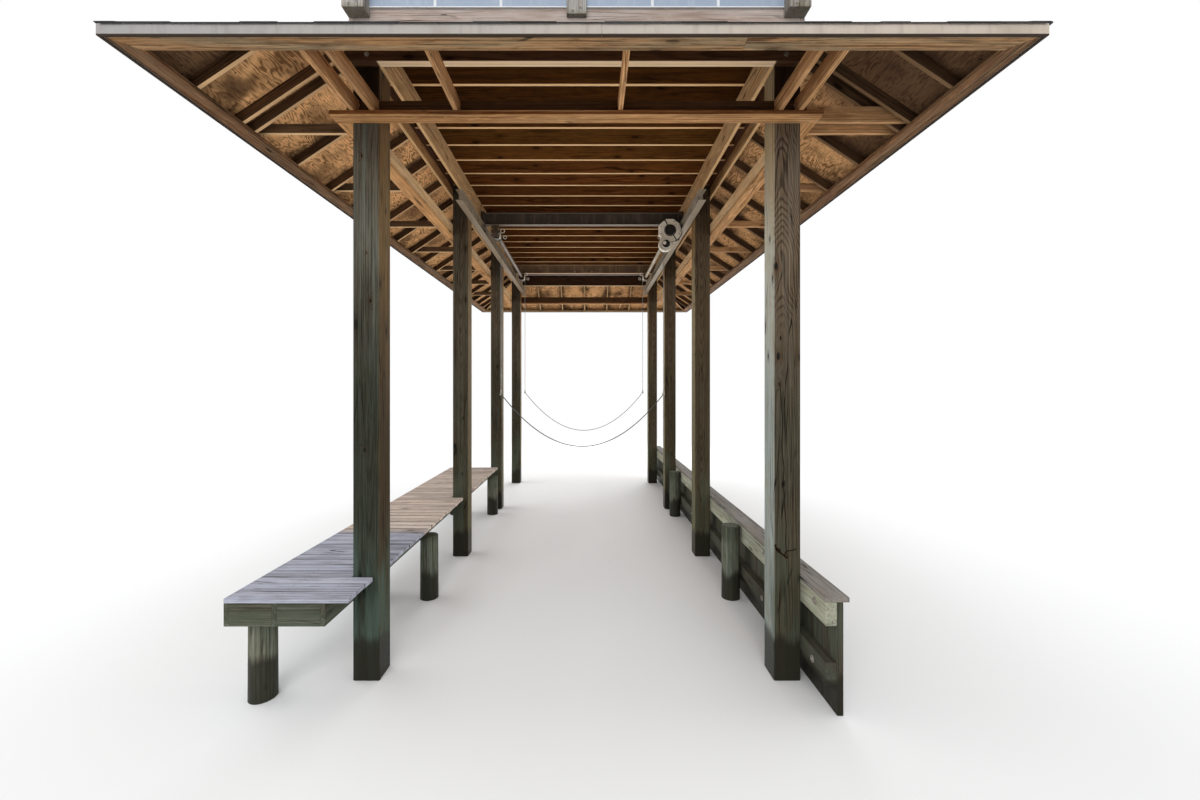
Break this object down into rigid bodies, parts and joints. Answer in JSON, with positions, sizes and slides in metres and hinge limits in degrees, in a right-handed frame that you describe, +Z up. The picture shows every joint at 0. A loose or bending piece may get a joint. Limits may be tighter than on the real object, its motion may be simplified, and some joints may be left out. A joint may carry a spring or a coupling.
{
  "type": "boathouse",
  "caption": "Open timber boathouse over a slip, with a hipped skirt roof, a guarded roof deck, a boat lift, a side walkway and a bulkhead",
  "frame": {"origin": "at water level, in the middle of the eaves", "axes": "+Y along the slip from the land end to the water end, +X to the right seen from the land, +Z up"},
  "size_m": [6.204, 11.345, 7.073],
  "materials": {
    "post_timber": "grey-green weathered treated timber, checked and knotted",
    "header_timber": "warm brown rough planks",
    "ring_timber": "orange-tan weathered planks",
    "rafter_timber": "brown planks",
    "eave_timber": "brown planks laid flat",
    "fascia_paint": "off-white painted trim, a little stained",
    "sheathing_panel": "orange-brown grooved panels with dark stains",
    "shingle": "near black mineral-surfaced shingles",
    "joist_timber": "dark brown joists in a weathered rim",
    "deck_timber": "weathered deck boards",
    "band_metal": "pale blue-grey band with fine lines",
    "guard_timber": "pale pinkish-grey weathered timber",
    "lift_steel": "dull grey galvanised steel",
    "cross_steel": "dark grey painted steel",
    "shaft_steel": "pale dull steel",
    "drive_paint": "cream painted cover, dirty at the edges",
    "drive_black": "black painted castings",
    "rope_steel": "stranded wire rope",
    "sling_webbing": "black woven webbing",
    "walkway_timber": "grey weathered boards",
    "walkway_frame_timber": "damp grey-brown planks",
    "bulkhead_timber": "green-grey damp timber"
  },
  "bodies": {
    "root": {"front_posts": "post_timber", "second_posts": "post_timber", "third_posts": "post_timber", "rear_posts": "post_timber", "front_header": "header_timber", "rear_header": "header_timber", "inner_girders": "header_timber", "outer_girders": "header_timber", "ring_beam": "ring_timber", "eave_ties": "ring_timber", "rafters_front": "rafter_timber", "rafters_rear": "rafter_timber", "rafters_left": "rafter_timber", "rafters_right": "rafter_timber", "hip_rafters": "rafter_timber", "eave_boards": "eave_timber", "eave_fascia": "fascia_paint", "sheathing_front": "sheathing_panel", "sheathing_rear": "sheathing_panel", "sheathing_left": "sheathing_panel", "sheathing_right": "sheathing_panel", "roof_shingles": "shingle", "deck_frame": "joist_timber", "deck_floor": "deck_timber", "rim_band": "band_metal", "guard_posts": "guard_timber", "guard_front": "guard_timber", "guard_rear": "guard_timber", "guard_left": "guard_timber", "guard_right": "guard_timber", "lift_beam_left": "lift_steel", "lift_beam_right": "lift_steel", "cross_beams": "cross_steel", "drive_shafts": "shaft_steel", "drive_cover": "drive_paint", "drive_motor": "drive_black", "lift_ropes": "rope_steel", "front_sling": "sling_webbing", "rear_sling": "sling_webbing", "walkway_deck": "walkway_timber", "walkway_frame": "walkway_frame_timber", "walkway_piles": "walkway_frame_timber", "bulkhead_sheet": "bulkhead_timber", "bulkhead_walers": "bulkhead_timber", "bulkhead_piles": "bulkhead_timber"}
  },
  "joints": []
}
